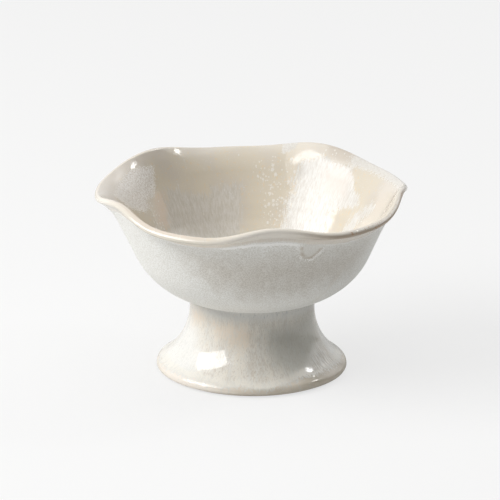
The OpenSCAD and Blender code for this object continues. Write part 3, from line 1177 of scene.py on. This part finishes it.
AIM = Vector((-1.34, 0, 63.2)) * MM
CAMERA_DISTANCE = 2467 * MM
CAMERA_ELEVATION = 18.36
CAMERA_ROLL = math.radians(0.5)
CAMERA_LENS = 345.3
SENSOR = 36.0
FLOOR_SIZE = 30.0
FLOOR_SHADE = 0.28
FLOOR_COLOUR = srgb(222, 222, 221)
FLOOR_GLOW = srgb(252, 252, 252)
BACKGROUND = srgb(245, 245, 245)

# Light of the room on matt surfaces: from all round, and more from behind and from above
ROOM_LIGHT = 0.02
BACK_LIGHT = 0.2
BACK_SPAN = (-0.2, 0.6)
TOP_LIGHT = 1.1
TOP_SPAN = (0.6, 1.0)

# The room that glazes mirror: dark, with a round window and a bright left side
DARK_SIDE = 0.05
LIGHT_SIDE = 1.0
WINDOW_DIRECTION = (0.468, 0.614, 0.636)
WINDOW_SPAN = (0.77, 0.81)
LEFT_SPAN = (0.1, 0.5)


def direction(azimuth, elevation):
    """Unit vector from the object. Azimuth 0 is towards the camera, and it grows to the right."""
    azimuth, elevation = math.radians(azimuth), math.radians(elevation)
    level = math.cos(elevation)
    return Vector((math.sin(azimuth) * level, -math.cos(azimuth) * level, math.sin(elevation)))


def area_lamp(name, size, watts, place, turned):
    """Lamp with straight edges that the camera doesn't see."""
    lamp = bpy.data.lights.new(name, "AREA")
    lamp.shape = "RECTANGLE"
    lamp.size, lamp.size_y = size
    lamp.energy = watts
    obj = add_object(name, lamp)
    obj.location = place
    obj.rotation_euler = turned.to_euler()
    obj.visible_camera = False
    return obj


def softbox(name, azimuth, elevation, distance, size, watts, mirrored=True):
    """Soft lamp that faces the object. Glazes may mirror it or not."""
    towards = direction(azimuth, elevation)
    lamp = area_lamp(name, size, watts, AIM + towards * distance, towards.to_track_quat("Z", "Y"))
    lamp.visible_glossy = mirrored


def edge_card(name, low, high, width, distance, watts):
    """Card for glazes to mirror, from an edge between two directions to away from the camera."""
    first, last = AIM + direction(*low) * distance, AIM + direction(*high) * distance
    upward = (last - first).normalized()
    towards = ((first + last) / 2 - AIM).normalized()
    across = upward.cross(towards).normalized()
    if across.y < 0:
        across = -across
    facing = across.cross(upward)
    if facing.dot(towards) < 0:
        upward, facing = -upward, -facing
    size = (width, (last - first).length)
    place = (first + last) / 2 + across * width / 2
    card = area_lamp(name, size, watts, place, Matrix((across, upward, facing)).transposed())
    card.visible_diffuse = False


def camera():
    data = bpy.data.cameras.new("camera")
    data.lens = CAMERA_LENS
    data.sensor_width = SENSOR
    obj = add_object("camera", data)
    towards = direction(0, CAMERA_ELEVATION)
    obj.location = AIM + towards * CAMERA_DISTANCE
    turned = towards.to_track_quat("Z", "Y").to_matrix() @ Euler((0, 0, CAMERA_ROLL)).to_matrix()
    obj.rotation_euler = turned.to_euler()
    bpy.context.scene.camera = obj


def mix_shaders(tree, share, first, second):
    node = add_node(tree, "MixShader", Fac=share)
    tree.links.new(first, node.inputs[1])
    tree.links.new(second, node.inputs[2])
    return node.outputs[0]


def floor():
    """Plain pale floor that keeps a soft shadow."""
    half = FLOOR_SIZE / 2
    mesh = bpy.data.meshes.new("floor")
    corners = [(-half, -half, 0), (half, -half, 0), (half, half, 0), (-half, half, 0)]
    mesh.from_pydata(corners, [], [(0, 1, 2, 3)])
    material, tree = new_material("floor")
    shader = tree.nodes[SHADER]
    shader.inputs["Base Color"].default_value = FLOOR_COLOUR
    shader.inputs["Roughness"].default_value = 1.0
    shader.inputs["Specular IOR Level"].default_value = 0.0
    lit = shader.outputs[0]
    glow = add_node(tree, "Emission", Color=FLOOR_GLOW, Strength=1.0).outputs[0]
    seen_directly = add_node(tree, "LightPath").outputs["Is Camera Ray"]
    surface = mix_shaders(tree, seen_directly, lit, mix_shaders(tree, FLOOR_SHADE, glow, lit))
    tree.links.new(surface, tree.nodes["Material Output"].inputs["Surface"])
    mesh.materials.append(material)
    obj = add_object("floor", mesh)


def world():
    """Light of the room, what glazes mirror of it, and the plain background."""
    scene_world = bpy.data.worlds.new("studio")
    bpy.context.scene.world = scene_world
    scene_world.use_nodes = True
    tree = scene_world.node_tree
    tree.nodes.clear()
    place = add_node(tree, "TexCoord").outputs["Generated"]
    side = add_node(tree, "SeparateXYZ", Vector=place).outputs
    behind = step(tree, side["Y"], *BACK_SPAN, ROOM_LIGHT, ROOM_LIGHT + BACK_LIGHT)
    level = calc(tree, "ADD", behind, step(tree, side["Z"], *TOP_SPAN, 0.0, TOP_LIGHT))
    towards = add_node(tree, "VectorMath", {"operation": "DOT_PRODUCT"})
    give(tree, towards.inputs[0], place)
    give(tree, towards.inputs[1], WINDOW_DIRECTION)
    pane = step(tree, towards.outputs["Value"], *WINDOW_SPAN)
    left = step(tree, calc(tree, "SUBTRACT", side["Y"], side["X"]), *LEFT_SPAN)
    mirrored = step(tree, calc(tree, "MAXIMUM", pane, left), 0.0, 1.0, DARK_SIDE, LIGHT_SIDE)
    path = add_node(tree, "LightPath").outputs
    change = calc(tree, "SUBTRACT", mirrored, level)
    level = calc(tree, "MULTIPLY_ADD", path["Is Glossy Ray"], change, level)
    room = add_node(tree, "Background", Color=(1, 1, 1, 1), Strength=level).outputs[0]
    plain = add_node(tree, "Background", Color=BACKGROUND, Strength=1.0).outputs[0]
    surface = mix_shaders(tree, path["Is Camera Ray"], room, plain)
    tree.links.new(surface, add_node(tree, "OutputWorld").inputs["Surface"])


def studio():
    """Floor, room, camera and lamps, with angles in degrees, lengths in metres and powers in watts."""
    floor()
    world()
    softbox("key", -72, 37, 1.5, (1.2, 0.66), 23.2)
    softbox("right_lamp", 106, 42, 1.6, (0.25, 0.14), 2.0)
    softbox("side_fill", 125, 20, 1.9, (1.4, 1.2), 7, mirrored=False)
    edge_card("low_card", (132, 1), (107, 18), 1.4, 1.8, 3.8)
    edge_card("high_card", (107, 18), (93, 48), 1.4, 1.8, 3.4)
    camera()
    bpy.context.scene.view_settings.view_transform = "Standard"


def build():
    bowl_body()
    bowl_inner_glaze()
    bowl_outer_glaze()
    foot_body()
    foot_outer_glaze()
    foot_inner_glaze()
    luting_slip()
    studio()


build()
